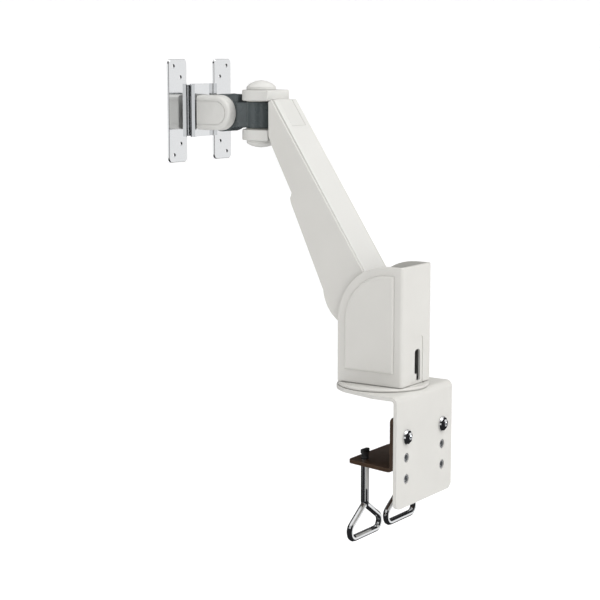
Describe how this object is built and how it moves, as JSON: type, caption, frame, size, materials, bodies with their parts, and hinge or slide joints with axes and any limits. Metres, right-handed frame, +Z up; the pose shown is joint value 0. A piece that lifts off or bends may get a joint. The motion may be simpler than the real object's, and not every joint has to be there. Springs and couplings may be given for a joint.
{
  "type": "monitor arm",
  "caption": "Desk-clamped monitor arm: swivelling column, parallel-link lift arm with gas spring, level head with swivel and tilt, H-shaped screen plate.",
  "frame": {"origin": "centre of the clamp's desk contact face, on the column's swivel axis", "axes": "+Z up, -Y towards the screen, +X to the right seen from behind the column"},
  "size_m": [0.144, 0.308, 0.5159],
  "materials": {
    "white_powder_coat": "fine-textured satin powder coat, warm white",
    "white_casting": "painted warm white",
    "white_plastic": "satin moulded, light warm grey",
    "brown_paint": "satin dark brown paint",
    "chrome": "bright plated",
    "zinc_steel": "zinc plated",
    "dark_casting": "dark blue-grey painted casting",
    "black_enamel": "gloss black enamel",
    "black_rubber": "matt black",
    "nylon": "natural nylon"
  },
  "bodies": {
    "clamp": {"clamp_bracket": "white_powder_coat", "desk_pad": "black_rubber", "swivel_spindle": "zinc_steel", "swivel_nut": "zinc_steel", "lower_jaw": "brown_paint", "jaw_screw_left": "chrome", "jaw_screw_right": "chrome", "jaw_washer_left": "zinc_steel", "jaw_washer_right": "zinc_steel", "jaw_nut_left": "zinc_steel", "jaw_nut_right": "zinc_steel", "plate_insert_middle_left": "zinc_steel", "plate_insert_middle_right": "zinc_steel", "plate_insert_lowest_left": "zinc_steel", "plate_insert_lowest_right": "zinc_steel"},
    "foot_left": {"clamp_foot_left": "black_rubber"},
    "screw_left": {"clamp_screw_left": "chrome"},
    "foot_right": {"clamp_foot_right": "black_rubber"},
    "screw_right": {"clamp_screw_right": "chrome"},
    "column": {"turntable": "white_powder_coat", "column_post": "zinc_steel", "column_housing": "white_powder_coat", "side_cover_left": "white_powder_coat", "side_cover_right": "white_powder_coat", "post_screw_left": "zinc_steel", "post_screw_right": "zinc_steel", "housing_screw_left": "zinc_steel", "housing_screw_right": "zinc_steel", "arm_pivot_pin": "zinc_steel", "link_pin_lower": "zinc_steel", "spring_pin_lower": "zinc_steel", "pivot_bush_left": "nylon", "pivot_bush_right": "nylon"},
    "arm": {"arm_shell": "white_powder_coat", "arm_top_cover": "white_plastic", "arm_frame": "zinc_steel", "spring_pin_upper": "zinc_steel"},
    "lower_link": {"lower_link": "zinc_steel"},
    "spring_cylinder": {"spring_cylinder": "black_enamel"},
    "spring_rod": {"spring_rod": "chrome"},
    "head_block": {"head_block": "white_casting", "head_pivot_pin": "zinc_steel", "link_pin_upper": "zinc_steel", "head_bush_left": "nylon", "head_bush_right": "nylon", "hub_washer_upper": "nylon", "hub_washer_lower": "nylon", "head_bolt": "zinc_steel", "head_nut": "zinc_steel", "dome_cap_upper": "white_plastic", "dome_cap_lower": "white_plastic"},
    "knuckle": {"knuckle": "dark_casting"},
    "tilt_head": {"tilt_bracket": "chrome", "vesa_plate": "chrome", "bracket_screw_lower": "zinc_steel", "bracket_screw_upper": "zinc_steel", "tilt_cover_left": "white_plastic", "tilt_cover_right": "white_plastic", "tilt_bolt": "zinc_steel", "tilt_nut": "zinc_steel"}
  },
  "joints": [
    {"name": "base_swivel", "type": "hinge", "parent": "clamp", "child": "column", "pos_m": [0, 0, 0.0056], "axis": [0, 0, 1], "range_deg": [-180, 180]},
    {"name": "arm_lift", "type": "hinge", "parent": "column", "child": "arm", "pos_m": [0, -0.019, 0.1115], "axis": [1, 0, 0], "range_deg": [-4, 52]},
    {"name": "link_lift", "type": "hinge", "parent": "column", "child": "lower_link", "pos_m": [0, -0.024, 0.0945], "axis": [1, 0, 0], "range_deg": [-4.2, 52.2]},
    {"name": "head_level", "type": "hinge", "parent": "arm", "child": "head_block", "pos_m": [0, -0.1252, 0.28619], "axis": [1, 0, 0], "range_deg": [-52.2, 4.2]},
    {"name": "spring_tilt", "type": "hinge", "parent": "arm", "child": "spring_cylinder", "pos_m": [0, -0.10347, 0.24506], "axis": [1, 0, 0], "range_deg": [-0.2, 1.5]},
    {"name": "spring_stroke", "type": "slide", "parent": "spring_cylinder", "child": "spring_rod", "axis": [0, 0.4305, -0.9026], "range_m": [-0.0165, 0.0015]},
    {"name": "head_swivel", "type": "hinge", "parent": "head_block", "child": "knuckle", "pos_m": [0, -0.1627, 0.2955], "axis": [0, 0, 1], "range_deg": [-70, 70]},
    {"name": "head_tilt", "type": "hinge", "parent": "knuckle", "child": "tilt_head", "pos_m": [0, -0.2084, 0.2973], "axis": [-1, 0, 0], "range_deg": [-20, 70]},
    {"name": "foot_travel_left", "type": "slide", "parent": "clamp", "child": "foot_left", "axis": [0, 0, 1], "range_m": [-0.0025, 0.0331]},
    {"name": "screw_turn_left", "type": "hinge", "parent": "foot_left", "child": "screw_left", "pos_m": [-0.038, 0, -0.1], "axis": [0, 0, 1], "range_deg": [-576, 7920]},
    {"name": "foot_travel_right", "type": "slide", "parent": "clamp", "child": "foot_right", "axis": [0, 0, 1], "range_m": [-0.0025, 0.0331]},
    {"name": "screw_turn_right", "type": "hinge", "parent": "foot_right", "child": "screw_right", "pos_m": [0.038, 0, -0.1], "axis": [0, 0, 1], "range_deg": [-576, 7920]}
  ],
  "couplings": [
    {"joint": "link_lift", "follows": "arm_lift", "ratio": 1},
    {"joint": "head_level", "follows": "arm_lift", "ratio": -1},
    {"joint": "spring_tilt", "follows": "arm_lift", "ratio": 0.026},
    {"joint": "spring_stroke", "follows": "arm_lift", "m_per_rad": -0.01792},
    {"joint": "foot_travel_left", "follows": "screw_turn_left", "m_per_rad": 0.00023873},
    {"joint": "foot_travel_right", "follows": "screw_turn_right", "m_per_rad": 0.00023873}
  ]
}
